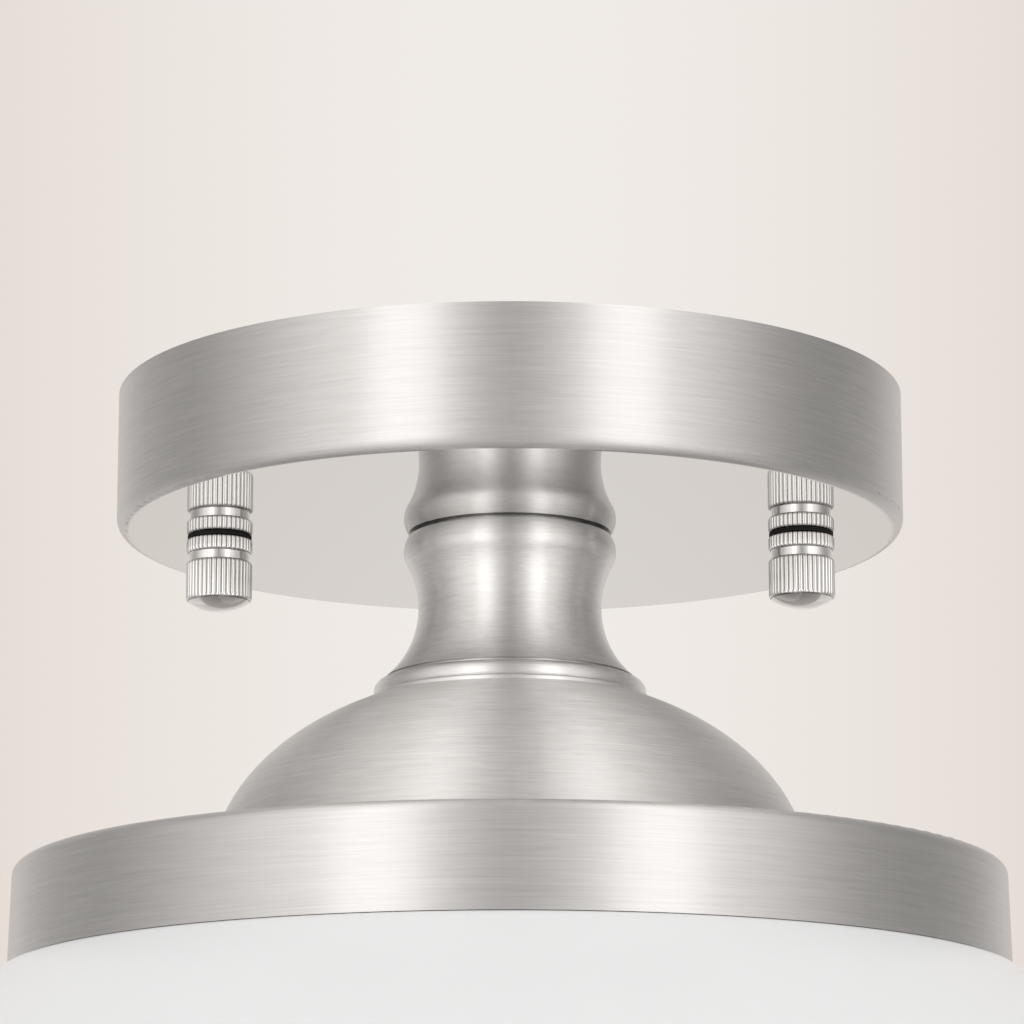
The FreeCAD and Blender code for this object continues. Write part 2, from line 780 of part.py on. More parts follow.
def shade_lip():
    """The notched lip and the straight neck under it, down to where the neck starts to widen."""
    neck_end = shade_wall(0)[0].firstVertex(True).Point.z
    shade = revolved(
        mark(glass_neck_radius - glass_wall, lip_top), mark(lip_radius, lip_top),
        mark(lip_radius, lip_bottom), mark(glass_neck_radius, lip_bottom),
        mark(glass_neck_radius, neck_end), mark(glass_neck_radius - glass_wall, neck_end))
    notch = block(
        glass_neck_radius + notch_root_gap, lip_radius + overrun, hook_width + 2 * notch_side_gap,
        lip_bottom - overrun, lip_top + overrun)
    nib_bottom = lip_bottom - nib_depth
    nib = block(lip_radius - nib_thickness, lip_radius, nib_width, nib_bottom, lip_top - lip_thickness / 2)
    lip_disc = ring(0, lip_radius, nib_bottom, lip_top)
    offset = (hook_width + nib_width) / 2 + stop_gap
    nib_angle = math.degrees(math.asin(offset / (lip_radius - nib_thickness)))
    for angle in hook_angles():
        shade = shade.cut(turned(notch, angle + twist_angle))
        shade = shade.fuse(turned(nib, angle - nib_angle).common(lip_disc))
    return shade


def dome_washer():
    return ring(nipple_hole, flat_washer_radius, dome_nut_top, dome_roof)


def dome_nut():
    return hex_nut(nut_flats, nipple_radius + thread_clearance, strap_top, dome_nut_top)


def strap_lock_nut():
    low = strap_bottom - lock_nut_height
    return hex_nut(nut_flats, nipple_radius + thread_clearance, low, strap_bottom)


strap_inner = body_radius + strap_side_gap
strap_outer = strap_inner + strap_thickness
strap_leg_bottom = body_top - strap_grip
strap_screw_level = strap_leg_bottom + strap_screw_up


def lampholder_strap():
    plate = block(-strap_outer, strap_outer, strap_width, strap_bottom, strap_top)
    plate = plate.cut(rod(nipple_hole, strap_bottom - overrun, strap_top + overrun))
    for side in (0, 180):
        leg = turned(block(strap_inner, strap_outer, strap_width, strap_leg_bottom, strap_top), side)
        plate = plate.fuse(leg)
    for side in (0, 180):
        plate = plate.cut(turned(strap_screw_hole(strap_outer + overrun), side))
    return plate.removeSplitter()


def strap_screw_hole(far):
    """A level hole along X, from the screw's tip in the porcelain out to far."""
    near = body_radius - strap_screw_depth
    return Part.makeCylinder(
        strap_screw_radius + thread_clearance, far - near, V(near, 0, strap_screw_level), V(1, 0, 0))


def lampholder_screws():
    tip = body_radius - strap_screw_depth
    shank = Part.makeCylinder(
        strap_screw_radius, strap_outer - tip, V(tip, 0, strap_screw_level), V(1, 0, 0))
    head = Part.makeCylinder(
        strap_screw_head_radius, strap_screw_head, V(strap_outer, 0, strap_screw_level), V(1, 0, 0))
    screw = shank.fuse(head)
    return [turned(screw, side) for side in (0, 180)]


def lampholder_body():
    """The porcelain body: a closed top with two lead sockets, and a wider rim round the bulb's cavity."""
    rim_top = body_bottom + body_rim_height
    top_centre = mark(body_radius - body_edge, body_top - body_edge)
    rim_centre = mark(body_rim_radius - body_edge, body_bottom + body_edge)
    body = revolved(
        mark(0, body_top),
        centred_arc(top_centre, body_edge, 90, 0),
        mark(body_radius, rim_top + (body_rim_radius - body_radius)), mark(body_rim_radius, rim_top),
        centred_arc(rim_centre, body_edge, 0, -90),
        mark(cavity_radius, body_bottom), mark(cavity_radius, cavity_top), mark(0, cavity_top))
    for side in (0, 180):
        rivet = rod(
            shell_rivet_radius + shell_rivet_clearance, cavity_top - overrun, body_top + overrun,
            shell_rivet_place)
        body = body.cut(turned(rivet, side))
        body = body.cut(turned(strap_screw_hole(body_radius + overrun), side))
    for y in (live_hole_place, -neutral_hole_place):
        body = body.cut(rod(lead_radius + lead_clearance, cavity_top - overrun, body_top + overrun, 0, y))
    return body


def knuckle(radius, top, turns):
    """A round-thread outline running down from top: ridges at radius, hollows thread_depth inside it."""
    edges = []
    middle = radius - thread_depth / 2
    half = thread_pitch / 2
    for turn in range(turns):
        level = top - turn * thread_pitch
        ridge = three_point_arc(
            mark(middle, level), mark(radius, level - half / 2), mark(middle, level - half))
        hollow = three_point_arc(
            mark(middle, level - half), mark(radius - thread_depth, level - 3 * half / 2),
            mark(middle, level - thread_pitch))
        edges += [ridge, hollow]
    return edges


def screw_shell():
    """The lampholder's threaded brass shell, flanged inwards at the top where two rivets hold it."""
    thread_start = cavity_top - shell_plain
    outer = knuckle(shell_radius, thread_start, shell_turns)
    inside = knuckle(shell_radius - shell_wall, thread_start, shell_turns)
    inner = [backwards(edge) for edge in reversed(inside)]
    shell = revolved(
        mark(shell_middle - shell_flange, cavity_top), mark(shell_middle, cavity_top), *outer, *inner,
        mark(shell_middle - shell_wall, cavity_top - shell_wall),
        mark(shell_middle - shell_flange, cavity_top - shell_wall))
    for side in (0, 180):
        hole = rod(
            shell_rivet_radius + shell_rivet_clearance, cavity_top - shell_wall - overrun,
            cavity_top + overrun, shell_rivet_place)
        shell = shell.cut(turned(hole, side))
    return shell


def shell_rivets():
    """The rivets through the body's roof that hold the shell, with a head at each end."""
    low = cavity_top - shell_wall
    rivet = rod(shell_rivet_radius, low, body_top, shell_rivet_place)
    for base, end in ((body_top, body_top + shell_rivet_head), (low - shell_rivet_head, low)):
        rivet = rivet.fuse(rod(shell_rivet_head_radius, base, end, shell_rivet_place))
    return [turned(rivet, side) for side in (0, 180)]


def centre_contact():
    """A brass disc with a raised button that the bulb's tip presses on."""
    plate_bottom = cavity_top - contact_thickness
    return revolved(
        mark(0, cavity_top), mark(contact_radius, cavity_top), mark(contact_radius, plate_bottom),
        mark(contact_bump_radius, plate_bottom),
        dome_arc(contact_bump_radius, plate_bottom, plate_bottom - contact_bump))


insulator_top = bulb_tip - bulb_contact_height
thread_top = insulator_top - insulator_height
base_bottom = thread_top - base_turns * thread_pitch - base_collar
base_middle = base_thread_radius - thread_depth / 2


def bulb_contact():
    rim_level = (bulb_tip + insulator_top) / 2
    edge = bulb_contact_height / 2
    return revolved(
        mark(0, bulb_tip), centred_arc(mark(bulb_contact_radius - edge, rim_level), edge, 90, 0),
        mark(bulb_contact_radius, insulator_top), mark(0, insulator_top))


def bulb_insulator():
    """The black glass cone between the tip contact and the screw base."""
    inner = base_middle - base_wall
    return revolved(
        mark(0, insulator_top), mark(bulb_contact_radius + base_wall, insulator_top),
        mark(inner, thread_top), mark(inner, thread_top - base_wall), mark(0, thread_top - base_wall))


def bulb_base():
    outer = knuckle(base_thread_radius, thread_top, base_turns)
    inside = knuckle(base_thread_radius - base_wall, thread_top, base_turns)
    inner = [backwards(edge) for edge in reversed(inside)]
    thread_end = thread_top - base_turns * thread_pitch
    return revolved(
        mark(base_middle, thread_top), *outer,
        mark(base_thread_radius, thread_end - thread_pitch * base_cone_share),
        mark(base_thread_radius, base_bottom),
        mark(base_middle - base_wall, base_bottom), *inner)


def bulb_glass():
    """The frosted envelope: a straight root in the base, then a cone tangent to the round end."""
    centre = mark(0, bulb_tip - bulb_length + bulb_radius)
    shoulder = mark(bulb_neck_radius, base_bottom)
    across = shoulder - centre
    join_turn = math.atan2(across.z, across.x) - math.acos(bulb_radius / across.Length)
    join_angle = math.degrees(join_turn)
    inwards = mark(-math.cos(join_turn), -math.sin(join_turn)) * bulb_wall
    root = base_bottom + bulb_root
    return revolved(
        mark(bulb_neck_radius - bulb_wall, root), mark(bulb_neck_radius, root), shoulder,
        centred_arc(centre, bulb_radius, join_angle, -90),
        centred_arc(centre, bulb_radius - bulb_wall, -90, join_angle),
        shoulder + inwards)


def at_angle(radius, angle, level):
    turn = math.radians(angle)
    return V(radius * math.cos(turn), radius * math.sin(turn), level)


connector_level = canopy_floor + connector_radius + seat_gap


def supply_lead(side, place, angle):
    """A lead from its contact, through the lampholder's roof, up the nipple and across the canopy to its
    connector."""
    turn_level = -lead_turn_down
    mouth = nipple_bottom - bushing_flange
    points = [
        V(0, side * place, cavity_top),
        V(0, side * place, body_top + lead_knee),
        V(0, side * lead_side, mouth - lead_mouth_drop),
        V(0, side * lead_side, turn_level),
        at_angle(lead_fall_start, angle, turn_level),
        at_angle(lead_fall_end, angle, connector_level),
        at_angle(connector_start + lead_into_connector, angle, connector_level),
    ]
    mouth_room = lead_mouth_drop + lead_mouth_reach
    straight_end = connector_start - lead_fall_end
    return tube(points, [lead_knee, mouth_room, lead_turn_down, lead_fall_start, straight_end])


def ground_lead():
    """The short lead from the ring terminal's barrel to its connector."""
    barrel_end = lug_barrel_start + lug_barrel_length
    rise_start = (barrel_end + lead_fall_end) / 2
    points = [
        at_angle(lug_barrel_start, ground_angle, ground_lead_level),
        at_angle(rise_start, ground_angle, ground_lead_level),
        at_angle(lead_fall_end, ground_angle, connector_level),
        at_angle(connector_start + lead_into_connector, ground_angle, connector_level),
    ]
    return tube(points, [rise_start - barrel_end, connector_start - lead_fall_end])


def wire_connectors():
    """Three twist-on connectors lying on the canopy floor, hollow at the end where the lead goes in."""
    outer = revolved(
        mark(0, 0), mark(connector_radius, 0),
        mark(connector_radius, connector_length * connector_straight_share),
        mark(connector_tip_radius, connector_length), mark(0, connector_length))
    mouth = rod(lead_radius + lead_clearance, -overrun, lead_into_connector)
    cup = rod(connector_radius - connector_wall, -overrun, connector_rim)
    cone = outer.cut(mouth).cut(cup)
    cone.rotate(V(0, 0, 0), V(0, 1, 0), 90)
    placed = moved(cone, connector_start, 0, connector_level)
    return [turned(placed, angle) for angle in (live_angle, neutral_angle, ground_angle)]


PIECES = {
    "box_bar": box_bar,
    "swivel_rivet": swivel_rivet,
    "stud_bar": stud_bar,
    "canopy_studs": canopy_studs,
    "stud_lock_nuts": stud_lock_nuts,
    "ground_screw": ground_screw,
    "canopy": canopy,
    "left_nut_washer": lambda: cap_washer(-stud_x),
    "right_nut_washer": lambda: cap_washer(stud_x),
    "left_cap_nut": lambda: cap_nut(-stud_x),
    "right_cap_nut": lambda: cap_nut(stud_x),
    "nipple": nipple,
    "nipple_bushings": nipple_bushings,
    "ground_lug": ground_lug,
    "canopy_washer": canopy_washer,
    "canopy_nut": canopy_nut,
    "neck": neck,
    "bead_ring": bead_ring,
    "dome": dome,
    "dome_washer": dome_washer,
    "dome_nut": dome_nut,
    "shade_pan": shade_pan,
    "pan_rivets": pan_rivets,
    "shade_hooks": shade_hooks,
    "shade_lip": shade_lip,
    "shade_shoulder": shade_shoulder,
    "shade_bowl": shade_bowl,
    "lampholder_strap": lampholder_strap,
    "strap_lock_nut": strap_lock_nut,
    "lampholder_screws": lampholder_screws,
    "lampholder_body": lampholder_body,
    "screw_shell": screw_shell,
    "shell_rivets": shell_rivets,
    "centre_contact": centre_contact,
    "bulb_contact": bulb_contact,
    "bulb_insulator": bulb_insulator,
    "bulb_base": bulb_base,
    "bulb_glass": bulb_glass,
    "live_lead": lambda: supply_lead(1, live_hole_place, live_angle),
    "neutral_lead": lambda: supply_lead(-1, neutral_hole_place, neutral_angle),
    "ground_lead": ground_lead,
    "wire_connectors": wire_connectors,
}


def save_all():
    os.makedirs("parts", exist_ok=True)
    for name, make in PIECES.items():
        made = make()
        solids = made if isinstance(made, list) else [made]
        for solid in solids:
            if not solid.isValid() or len(solid.Solids) != 1:
                print("CHECK", name, "valid", solid.isValid(), "solids", len(solid.Solids))
        whole = Part.makeCompound(solids) if len(solids) > 1 else solids[0]
        whole.exportStep("parts/" + name + ".step")
        box = whole.BoundBox
        print("%-18s volume %9.1f  z %7.2f to %7.2f" % (name, whole.Volume, box.ZMin, box.ZMax))


save_all()
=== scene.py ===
import json
import math

import bpy
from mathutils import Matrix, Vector

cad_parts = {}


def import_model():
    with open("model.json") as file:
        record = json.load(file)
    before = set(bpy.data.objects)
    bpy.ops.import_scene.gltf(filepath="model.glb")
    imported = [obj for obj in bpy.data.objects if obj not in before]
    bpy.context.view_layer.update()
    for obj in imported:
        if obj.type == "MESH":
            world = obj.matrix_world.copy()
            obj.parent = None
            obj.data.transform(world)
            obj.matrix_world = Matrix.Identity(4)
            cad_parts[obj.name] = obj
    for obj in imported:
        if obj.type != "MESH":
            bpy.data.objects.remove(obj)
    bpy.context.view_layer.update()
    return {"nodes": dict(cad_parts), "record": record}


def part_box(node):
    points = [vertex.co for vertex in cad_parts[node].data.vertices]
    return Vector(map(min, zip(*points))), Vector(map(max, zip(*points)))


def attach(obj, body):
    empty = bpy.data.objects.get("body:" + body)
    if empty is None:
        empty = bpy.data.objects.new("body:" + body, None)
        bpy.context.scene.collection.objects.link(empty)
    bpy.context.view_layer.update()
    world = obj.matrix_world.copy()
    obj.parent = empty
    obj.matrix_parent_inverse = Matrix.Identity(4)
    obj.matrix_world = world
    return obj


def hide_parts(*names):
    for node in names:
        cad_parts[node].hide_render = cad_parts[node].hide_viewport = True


# Semi-flush ceiling light: materials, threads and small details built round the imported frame.
# Metres throughout. The origin is on the lamp's axis in the ceiling plane, and +Z is up.

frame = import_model()
NODES = frame["nodes"]

# Camera, at the photograph's viewing angle
CAMERA_DISTANCE = 0.68923
CAMERA_LEVEL = -0.1706
CAMERA_PITCH = math.radians(12.55)
CAMERA_TURN = math.radians(1.5)
CAMERA_PAN = 0.00045       # to the right, in radians
CAMERA_LENS = 162.04
CAMERA_SENSOR = 36.0

# Backdrop and floor, as shown
BACKDROP_MIDDLE = (0.871, 0.831, 0.791)
BACKDROP_EDGE = (0.791, 0.723, 0.68)
BACKDROP_SPREAD = 0.0122   # squared sine of the angle to the side at which the edge colour is reached
FLOOR_LEVEL = -2.3
FLOOR_SIZE = 12.0
WORLD_LIGHT = 0.8

# Soft lamps: turn round the axis from the camera's side, height, distance, size and power
SIDE_LAMPS = (
    ("left_lamp", -30.0, 0.3, 1.9, (0.7, 5.0), 7.0),
    ("right_lamp", 33.0, 0.3, 1.9, (0.7, 5.0), 7.5),
)
LAMP_COLOUR = (1.0, 1.0, 1.0)

# Graded studio wall that the metal mirrors: grey level at each angle round the axis from the camera's side
WALL_GREYS = (
    (-156.0, 0.80), (-140.0, 0.64), (-123.0, 0.50), (-103.0, 0.44), (-86.0, 0.65), (-71.0, 0.92), (-60.0, 1.15),
    (-50.0, 1.30), (-42.0, 1.36), (-16.0, 1.10), (-9.0, 0.78), (0.0, 0.51), (9.0, 0.76), (16.0, 1.00),
    (45.0, 1.32), (52.0, 1.22), (60.0, 1.08), (71.0, 0.76), (86.0, 0.48), (103.0, 0.37), (123.0, 0.44),
    (140.0, 0.62), (156.0, 0.80),
)
WALL_TINT = (1.0, 0.965, 0.935)
WALL_DISTANCE = 2.4
WALL_LOW = -2.3
WALL_HIGH = 4.2
WALL_STEP = 4.0

# Cap nuts: radius of the bore, metal left between it and the domed end, and flutes
CAP_BORE = 0.00205
CAP_BORE_ROOF = 0.0014
CAP_FLUTES = 40
CAP_FLUTE_STEPS = 10
CAP_FLUTE_DEPTH = 0.00032
CAP_DOME_STEPS = 10
# Outline from the top down: drop, distance in from the flutes' crests, and how deep the flutes are there (0 to 1)
CAP_OUTLINE = (
    (0.0, 0.00045, 0.0), (0.00006, 0.00034, 0.0), (0.00014, 0.00022, 0.25), (0.00024, 0.00010, 0.7),
    (0.00036, 0.00002, 0.95), (0.00050, 0.0, 1.0), (0.00185, 0.0, 1.0), (0.00199, 0.00002, 0.95),
    (0.00211, 0.00010, 0.7), (0.00221, 0.00022, 0.25), (0.00229, 0.00034, 0.0), (0.00235, 0.00044, 0.0),
    (0.00238, 0.00050, 0.0), (0.00298, 0.00051, 0.0), (0.00357, 0.00050, 0.0), (0.00360, 0.00044, 0.0),
    (0.00366, 0.00034, 0.0), (0.00374, 0.00022, 0.25), (0.00384, 0.00010, 0.7), (0.00396, 0.00002, 0.95),
    (0.00410, 0.0, 1.0), (0.00900, 0.0, 1.0), (0.00918, 0.0, 0.9), (0.00932, 0.00001, 0.6),
    (0.00942, 0.00003, 0.25), (0.00950, 0.00006, 0.0),
)

# Threads
STUD_PITCH = 0.0007
STUD_THREAD_DEPTH = 0.0004
NIPPLE_PITCH = 0.001
NIPPLE_THREAD_DEPTH = 0.0006
NIPPLE_BORE = 0.0036       # radius
THREAD_SEGMENTS = 48
THREAD_ROWS = 8            # rows of vertices per turn

# Wire connectors: outline as distance along, radius, and whether it is ribbed
CONNECTOR_START = 0.026
CONNECTOR_ANGLES = (75.0, 285.0, 150.0)
CONNECTOR_RIBS = 14
CONNECTOR_RIB_STEPS = 6
CONNECTOR_RIB_DEPTH = 0.0005
CONNECTOR_OUTLINE = (
    (0.0015, 0.0012, False), (0.0015, 0.0040, False), (0.0, 0.0040, False), (0.0, 0.0050, False),
    (0.0003, 0.0052, False), (0.0016, 0.0052, False), (0.0022, 0.0052, True), (0.0057, 0.0051, True),
    (0.0150, 0.0039, True), (0.0161, 0.0036, False), (0.0167, 0.0029, False), (0.0170, 0.0015, False),
)

# Opal glass: its outline's arcs, the crown right under the band, and the steps round the axis
GLASS_WALL = 0.003
GLASS_NECK_RADIUS = 0.0683
GLASS_BAND_GAP = 0.00005
GLASS_CROWN_RADIUS = 0.0034
GLASS_CROWN_INSET = 0.0006     # crown's centre, inwards from the band's outer face
GLASS_SHOULDER_RADIUS = 0.0485
GLASS_BELLY_RADIUS = 0.095
GLASS_BELLY_ANGLE = 40.0
GLASS_BASE_RADIUS = 0.050
GLASS_BASE_ANGLE = 78.0
GLASS_ARC_STEP = 2.0
GLASS_SEGMENTS = 240

# Sharp edges: the angle between faces from which an edge isn't smoothed
THREAD_EDGE = 25.0
RIB_EDGE = 35.0
LATHE_EDGE = 50.0

# Nodes spun on a lathe, which have brushed finishes of their own: the same nickel with other roughness, but with a
# base colour painted lighter than the canopy's, as painted light for the light that the canopy and dome keep off
# them
LIGHTENED_SPUN_FINISHES = {"neck": "neck_nickel_painted_light", "bead_ring": "neck_nickel_painted_light", "dome": "dome_nickel_painted_light"}

# Brushing streaks: how many in a metre across them, and how much they change round the axis
FINE_STREAKS = (3600.0, 7.0)
BROAD_STREAKS = (1100.0, 1.6)
FINE_SHARE = 0.7
STREAK_DARKNESS = 0.83
STREAK_SPAN = (0.35, 0.65)  # streak noise that runs from the darkest to the lightest tint
BRUSHING_DEPTH = 0.00005
ACROSS_THE_BRUSHING = 0.25  # turn of the anisotropy, so that highlights run upright, across the streaks

# Polish on faces that look down, by the vertical part of their normal: where it is whole, where it has ended, and
# where the brushing's relief is back at full strength
POLISH_WHOLE = -0.998
POLISH_END = -0.97
RELIEF_WHOLE = -0.7
POLISHED_ROUGHNESS = 0.03

# Painted shade in the roots between the nuts' flutes, a darker base colour standing in for the shade there: it lies
# between these shares of their depth, down from the crests
PAINTED_SHADE_TOP = 0.35
PAINTED_SHADE_BOTTOM = 1.2
PAINTED_SHADE_DARKNESS = 0.34

# Span of values that cloudy noise mostly takes, and the darker tint of clouds in moulded pieces
CLOUD_SPAN = (0.3, 0.7)
MOULDED_DARKNESS = 0.86

# Fine relief: strength and depth
PLATE_GRAIN = (0.12, 0.00005)
NUT_GRAIN = (0.08, 0.00004)
MOULDED_GRAIN = (0.15, 0.00006)
GLASS_WAVES = (0.1, 0.0006)
GLAZE_POOLS = (0.12, 0.0003)

# Places of the Mix node's colour sockets
MIX_A, MIX_B, MIX_RESULT = 6, 7, 2


class Material:
    """A node material with one Principled shader, and short calls to wire nodes into it."""

    def __init__(self, name, colour, roughness, **values):
        self.data = bpy.data.materials.new(name)
        self.data.use_nodes = True
        self.tree = self.data.node_tree
        self.shader = self.tree.nodes["Principled BSDF"]
        self.set(**{"Base Color": (*colour, 1.0), "Roughness": roughness}, **values)

    def set(self, **values):
        for name, value in values.items():
            self.shader.inputs[name].default_value = value

    def node(self, kind, inputs=(), **settings):
        """Adds a node. Each input is a name or place with a value or another node's output."""
        node = self.tree.nodes.new("ShaderNode" + kind)
        for name, value in settings.items():
            setattr(node, name, value)
        for place, value in dict(inputs).items():
            if isinstance(value, bpy.types.NodeSocket):
                self.tree.links.new(value, node.inputs[place])
            else:
                node.inputs[place].default_value = value
        return node

    def join(self, output, name):
        self.tree.links.new(output, self.shader.inputs[name])

    def point(self):
        return self.node("TexCoord").outputs["Object"]

    def math(self, operation, a, b=0.0):
        return self.node("Math", {0: a, 1: b}, operation=operation).outputs[0]

    def vector(self, operation, a, b=(0.0, 0.0, 0.0)):
        node = self.node("VectorMath", {0: a, 1: b}, operation=operation)
        return node.outputs["Value" if operation == "LENGTH" else "Vector"]

    def remap(self, value, low, high, start=0.0, end=1.0):
        node = self.node("MapRange", {"Value": value, "From Min": start, "From Max": end,
                                      "To Min": low, "To Max": high})
        return node.outputs["Result"]

    def noise(self, vector, scale, detail=2.0, roughness=0.5, w=None):
        inputs = {"Vector": vector, "Scale": scale, "Detail": detail, "Roughness": roughness}
        if w is not None:
            inputs["W"] = w
        kind = "4D" if w is not None else "3D"
        return self.node("TexNoise", inputs, noise_dimensions=kind).outputs["Fac"]

    def mix_colour(self, factor, dark, light):
        node = self.node(
            "Mix", {0: factor, MIX_A: (*dark, 1.0), MIX_B: (*light, 1.0)}, data_type="RGBA")
        return node.outputs[MIX_RESULT]

    def bump(self, height, strength, distance, normal=None):
        inputs = {"Height": height, "Strength": strength, "Distance": distance}
        if normal is not None:
            inputs["Normal"] = normal
        return self.node("Bump", inputs).outputs["Normal"]

    def ring_streaks(self, count, drift):
        """Noise drawn out into rings round the axis: it changes with height and radius, and slowly round it."""
        flat = self.vector("MULTIPLY", self.point(), (1.0, 1.0, 0.0))
        around = self.vector("SCALE", self.vector("NORMALIZE", flat))
        around.node.inputs["Scale"].default_value = drift
        height = self.vector("MULTIPLY", self.point(), (0.0, 0.0, count))
        place = self.vector("ADD", around, height)
        radius = self.math("MULTIPLY", self.vector("LENGTH", flat), count)
        return self.noise(place, 1.0, 3.0, 0.6, w=radius)


def brushed_nickel(name, colour, low, high, anisotropy, bump, polished_below=False, lean=None):
    """Satin nickel, brushed round the axis. With polished_below, faces that look down are mirror bright. With lean,
    faces that look up are shaded with only that share of their tilt, so that highlights run on down a flare.
    """
    made = Material(name, colour, low, Metallic=1.0, Anisotropic=anisotropy)
    made.set(**{"Anisotropic Rotation": ACROSS_THE_BRUSHING})
    fine = made.ring_streaks(*FINE_STREAKS)
    broad = made.ring_streaks(*BROAD_STREAKS)
    streaks = made.math(
        "ADD", made.math("MULTIPLY", fine, FINE_SHARE), made.math("MULTIPLY", broad, 1.0 - FINE_SHARE))
    rough = made.remap(streaks, low, high, *CLOUD_SPAN)
    tint = made.remap(streaks, 0.0, 1.0, *STREAK_SPAN)
    darker = tuple(STREAK_DARKNESS * c for c in colour)
    if polished_below:
        facing = made.node("SeparateXYZ", {0: made.node("TexCoord").outputs["Normal"]}).outputs["Z"]
        polished = made.remap(facing, 1.0, 0.0, POLISH_WHOLE, POLISH_END)
        brushed = made.math("SUBTRACT", 1.0, polished)
        rough = made.math("ADD", made.math("MULTIPLY", rough, brushed),
                          made.math("MULTIPLY", polished, POLISHED_ROUGHNESS))
        bump = made.remap(facing, 0.0, bump, POLISH_END, RELIEF_WHOLE)
        tint = made.math("MAXIMUM", tint, polished)
    made.join(made.mix_colour(tint, darker, colour), "Base Color")
    made.join(rough, "Roughness")
    shading = None
    if lean is not None:
        parts = made.node("SeparateXYZ", {0: made.node("NewGeometry").outputs["Normal"]}).outputs
        upward = made.math("MULTIPLY", made.math("MAXIMUM", parts["Z"], 0.0), lean)
        tilt = made.math("ADD", upward, made.math("MINIMUM", parts["Z"], 0.0))
        surface = made.node("CombineXYZ", {"X": parts["X"], "Y": parts["Y"], "Z": tilt}).outputs[0]
        shading = made.vector("NORMALIZE", surface)
    made.join(made.bump(fine, bump, BRUSHING_DEPTH, shading), "Normal")
    made.join(made.node("Tangent", direction_type="RADIAL", axis="Z").outputs[0], "Tangent")
    return made.data


def plated_steel(name, colour, rough, mottle):
    """Zinc or nickel plate with faint cloudiness and small pits."""
    made = Material(name, colour, rough, Metallic=1.0)
    cloud = made.noise(made.point(), 160.0, 4.0, 0.6)
    grain = made.noise(made.point(), 2400.0, 2.0)
    made.join(made.mix_colour(cloud, tuple(mottle * c for c in colour), colour), "Base Color")
    made.join(made.remap(cloud, rough * 0.8, rough * 1.3, *CLOUD_SPAN), "Roughness")
    made.join(made.bump(grain, *PLATE_GRAIN), "Normal")
    return made.data


def fluted_nickel(colour):
    """Bright nickel plate on the cap nuts, with painted shade (a darker base colour) in the roots between their
    flutes.
    """
    made = Material("polished_nickel", colour, 0.12, Metallic=1.0)
    low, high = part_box("right_cap_nut")
    centre = (low + high) / 2
    from_axis = made.vector("SUBTRACT", made.vector("ABSOLUTE", made.point()), (centre.x, 0.0, 0.0))
    radius = made.vector("LENGTH", made.vector("MULTIPLY", from_axis, (1.0, 1.0, 0.0)))
    crest = (high.x - low.x) / 2
    # Painted shade: the base colour darkens from this share of the flutes' depth down into their roots
    unshaded = made.remap(radius, 0.0, 1.0, crest - CAP_FLUTE_DEPTH, crest - PAINTED_SHADE_TOP * CAP_FLUTE_DEPTH)
    cloud = made.noise(made.point(), 700.0, 3.0)
    inside = made.math("LESS_THAN", radius, crest - PAINTED_SHADE_BOTTOM * CAP_FLUTE_DEPTH)
    unshaded = made.math("MAXIMUM", unshaded, inside)
    made.join(made.mix_colour(unshaded, tuple(PAINTED_SHADE_DARKNESS * c for c in colour), colour), "Base Color")
    made.join(made.remap(cloud, 0.09, 0.17, *CLOUD_SPAN), "Roughness")
    made.join(made.bump(made.noise(made.point(), 2400.0), *NUT_GRAIN), "Normal")
    return made.data


def moulded(name, colour, rough, grain_scale=1800.0, coat=0.0):
    """Moulded plastic, fibre or insulation with a fine grain."""
    made = Material(name, colour, rough)
    made.set(**{"Coat Weight": coat})
    grain = made.noise(made.point(), grain_scale, 3.0, 0.6)
    broad = made.noise(made.point(), 90.0, 3.0)
    made.join(made.mix_colour(broad, tuple(MOULDED_DARKNESS * c for c in colour), colour), "Base Color")
    made.join(made.remap(broad, rough * 0.9, rough * 1.15, *CLOUD_SPAN), "Roughness")
    made.join(made.bump(grain, *MOULDED_GRAIN), "Normal")
    return made.data


def opal_glass():
    """White opal glass: a satin outside, a milky body, and a faint waviness from the blowing."""
    made = Material("opal_glass", (0.93, 0.93, 0.925), 0.3)
    made.set(**{"Subsurface Weight": 0.35, "Subsurface Scale": 0.004, "IOR": 1.5, "Coat Weight": 0.15,
                "Coat Roughness": 0.2})
    made.shader.inputs["Subsurface Radius"].default_value = (1.0, 0.95, 0.88)
    wave = made.noise(made.point(), 22.0, 2.0)
    cloud = made.noise(made.point(), 60.0, 4.0)
    made.join(made.mix_colour(cloud, (0.92, 0.92, 0.915), (0.94, 0.94, 0.935)), "Base Color")
    made.join(made.remap(cloud, 0.29, 0.33), "Roughness")
    made.join(made.bump(wave, *GLASS_WAVES), "Normal")
    return made.data


def frosted_glass():
    """The bulb's milky glass, rough with a fine frost."""
    made = Material("frosted_glass", (0.90, 0.90, 0.88), 0.35)
    made.set(**{"Subsurface Weight": 0.2, "Subsurface Scale": 0.002, "Coat Weight": 0.6,
                "Coat Roughness": 0.05})
    frost = made.noise(made.point(), 900.0, 3.0)
    made.join(made.mix_colour(frost, (0.87, 0.87, 0.85), (0.92, 0.92, 0.90)), "Base Color")
    made.join(made.remap(frost, 0.3, 0.4, *CLOUD_SPAN), "Roughness")
    return made.data


def porcelain():
    """Glazed porcelain, with pools in the glaze and fine specks."""
    made = Material("porcelain", (0.87, 0.86, 0.82), 0.16)
    made.set(**{"Coat Weight": 0.7, "Coat Roughness": 0.06})
    pool = made.noise(made.point(), 75.0, 3.0)
    speck = made.noise(made.point(), 1500.0, 1.0)
    made.join(made.mix_colour(pool, (0.83, 0.82, 0.775), (0.89, 0.88, 0.845)), "Base Color")
    made.join(made.remap(speck, 0.12, 0.22, *CLOUD_SPAN), "Roughness")
    made.join(made.bump(pool, *GLAZE_POOLS), "Normal")
    return made.data


